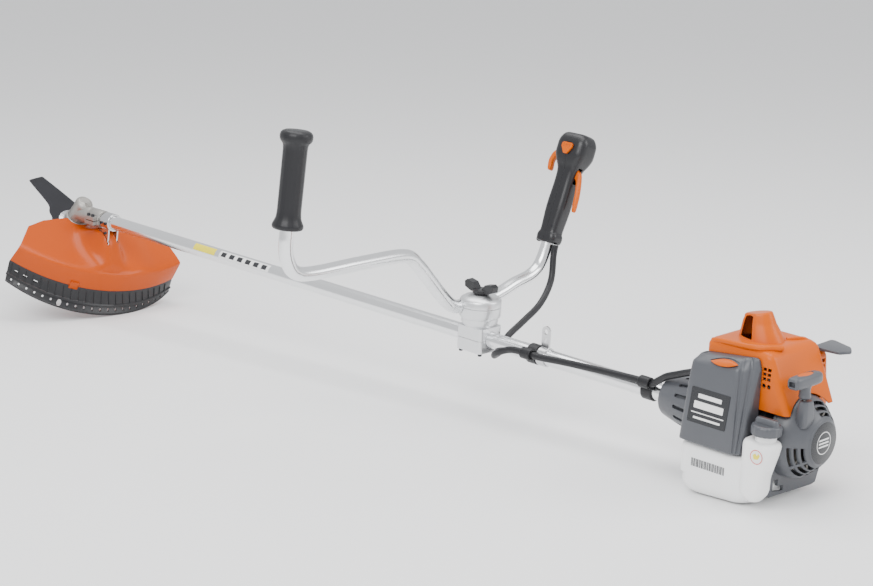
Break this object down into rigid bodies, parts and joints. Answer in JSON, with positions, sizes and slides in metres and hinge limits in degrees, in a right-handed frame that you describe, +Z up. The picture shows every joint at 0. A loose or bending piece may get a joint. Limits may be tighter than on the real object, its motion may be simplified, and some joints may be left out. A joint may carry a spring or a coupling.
{
  "type": "brush cutter",
  "caption": "Petrol brush cutter on a straight shaft with a U handlebar, toothed blade, orange guard and a small two-stroke engine.",
  "frame": {"origin": "centre of the fuel tank's flat foot, on the ground under the engine", "axes": "+Z up from the ground, +X back along the shaft from the blade to the engine, +Y to the machine's right"},
  "size_m": [1.8649, 0.6922, 0.5109],
  "materials": {
    "bright_steel": "machined",
    "polished_aluminium": "polished",
    "cast_aluminium": "cast",
    "satin_aluminium": "satin",
    "dark_steel": "blackened",
    "grey_plastic": "fine grain",
    "orange_plastic": "glossy",
    "black_plastic": "fine grain",
    "black_rubber": "matt",
    "translucent_plastic": "translucent white",
    "filter_foam": "open foam",
    "bushing_bronze": "sintered",
    "rope": "braided"
  },
  "bodies": {
    "machine": {"shaft_tube": "polished_aluminium", "shaft_bushing_rear": "bushing_bronze", "shaft_bushing_front": "bushing_bronze", "cable_clip_front": "black_rubber", "cable_clip_rear": "black_rubber", "harness_bracket": "bright_steel", "throttle_cable": "black_rubber", "gearbox_housing": "cast_aluminium", "pinion_bearing": "bright_steel", "output_bearing": "bright_steel", "guard_bracket": "bright_steel", "guard_shield": "orange_plastic", "guard_skirt": "black_plastic", "handle_base_strap": "satin_aluminium", "handle_base_upper": "satin_aluminium", "clutch_housing": "grey_plastic", "crank_bearing_rear": "bright_steel", "crank_bearing_front": "bright_steel", "drum_bearing": "bright_steel", "crankcase": "grey_plastic", "cylinder": "cast_aluminium", "spark_plug": "bright_steel", "spark_plug_boot": "black_rubber", "carburettor": "cast_aluminium", "filter_base": "black_plastic", "filter_element": "filter_foam", "filter_cover": "grey_plastic", "engine_shroud": "orange_plastic", "rear_bumper": "grey_plastic", "muffler": "bright_steel", "muffler_guard": "orange_plastic", "starter_cover": "grey_plastic", "fuel_tank": "translucent_plastic"},
    "handlebar": {"handle_saddle": "satin_aluminium", "handle_cap": "satin_aluminium", "handlebar_tube": "polished_aluminium", "left_grip": "black_rubber", "control_housing_front": "black_plastic", "control_housing_rear": "black_plastic"},
    "wing_knob": {"wing_knob": "black_plastic"},
    "throttle_trigger": {"throttle_trigger": "orange_plastic"},
    "throttle_lock": {"throttle_lock": "orange_plastic"},
    "stop_switch": {"stop_switch": "orange_plastic"},
    "cover_latch": {"cover_latch": "orange_plastic"},
    "fuel_cap": {"fuel_cap": "grey_plastic"},
    "crank": {"crankshaft": "bright_steel", "flywheel": "cast_aluminium", "clutch_shoes": "dark_steel"},
    "piston": {"piston": "bright_steel"},
    "starter_handle": {"starter_handle": "grey_plastic", "starter_rope": "rope"},
    "recoil_pulley": {"recoil_pulley": "black_plastic"},
    "drive": {"drive_shaft": "bright_steel", "clutch_drum": "bright_steel", "pinion_gear": "bright_steel"},
    "blade": {"output_gear": "bright_steel", "brush_blade": "dark_steel", "blade_adapter": "bright_steel", "blade_washer": "bright_steel", "blade_nut": "bright_steel"}
  },
  "joints": [
    {"name": "handlebar_swivel", "type": "hinge", "parent": "machine", "child": "handlebar", "pos_m": [-0.54346, 0, 0.18185], "axis": [0.0569, 0, 0.9984], "range_deg": [-90, 0], "deforming": ["throttle_cable"]},
    {"name": "wing_knob_turn", "type": "hinge", "parent": "handlebar", "child": "wing_knob", "pos_m": [-0.54233, 0, 0.20181], "axis": [0.0569, 0, 0.9984], "range_deg": [0, 360]},
    {"name": "throttle_trigger_pull", "type": "hinge", "parent": "handlebar", "child": "throttle_trigger", "pos_m": [-0.56298, 0.23505, 0.40182], "axis": [0.0206, -0.9323, 0.361], "range_deg": [0, 18], "stiffness_Nm_per_rad": 0.08},
    {"name": "throttle_lock_press", "type": "hinge", "parent": "handlebar", "child": "throttle_lock", "pos_m": [-0.53888, 0.2224, 0.36777], "axis": [-0.0206, 0.9323, -0.361], "range_deg": [0, 7], "stiffness_Nm_per_rad": 0.08},
    {"name": "stop_switch_slide", "type": "slide", "parent": "handlebar", "child": "stop_switch", "axis": [0.053, 0.3616, 0.9308], "range_m": [0, 0.003]},
    {"name": "cover_latch_lift", "type": "hinge", "parent": "machine", "child": "cover_latch", "pos_m": [0.0023, -0.075, 0.21486], "axis": [-0.9984, 0, 0.0569], "range_deg": [0, 25]},
    {"name": "fuel_cap_turn", "type": "hinge", "parent": "machine", "child": "fuel_cap", "pos_m": [0.07905, -0.082, 0.12035], "axis": [0.0569, 0, 0.9984], "range_deg": [0, 360]},
    {"name": "crank_spin", "type": "hinge", "parent": "machine", "child": "crank", "pos_m": [0.00868, 0, 0.09831], "axis": [0.9984, 0, -0.0569], "continuous": true},
    {"name": "piston_slide", "type": "slide", "parent": "machine", "child": "piston", "axis": [0.0569, 0, 0.9984], "range_m": [-0.034, 0]},
    {"name": "starter_pull", "type": "slide", "parent": "machine", "child": "starter_handle", "axis": [0, 0, 1], "range_m": [0, 0.2], "deforming": ["starter_rope"]},
    {"name": "recoil_pulley_turn", "type": "hinge", "parent": "machine", "child": "recoil_pulley", "pos_m": [0.10752, 0, 0.09268], "axis": [-0.9984, 0, 0.0569], "range_deg": [0, 350]},
    {"name": "drive_spin", "type": "hinge", "parent": "machine", "child": "drive", "pos_m": [-0.12011, 0, 0.10565], "axis": [0.9984, 0, -0.0569], "continuous": true},
    {"name": "blade_spin", "type": "hinge", "parent": "machine", "child": "blade", "pos_m": [-1.61968, 0, 0.19107], "axis": [-0.6192, 0, -0.7852], "continuous": true}
  ],
  "couplings": [
    {"joint": "blade_spin", "follows": "drive_spin", "ratio": 0.73684},
    {"joint": "recoil_pulley_turn", "follows": "starter_pull", "rad_per_m": 30.303}
  ]
}
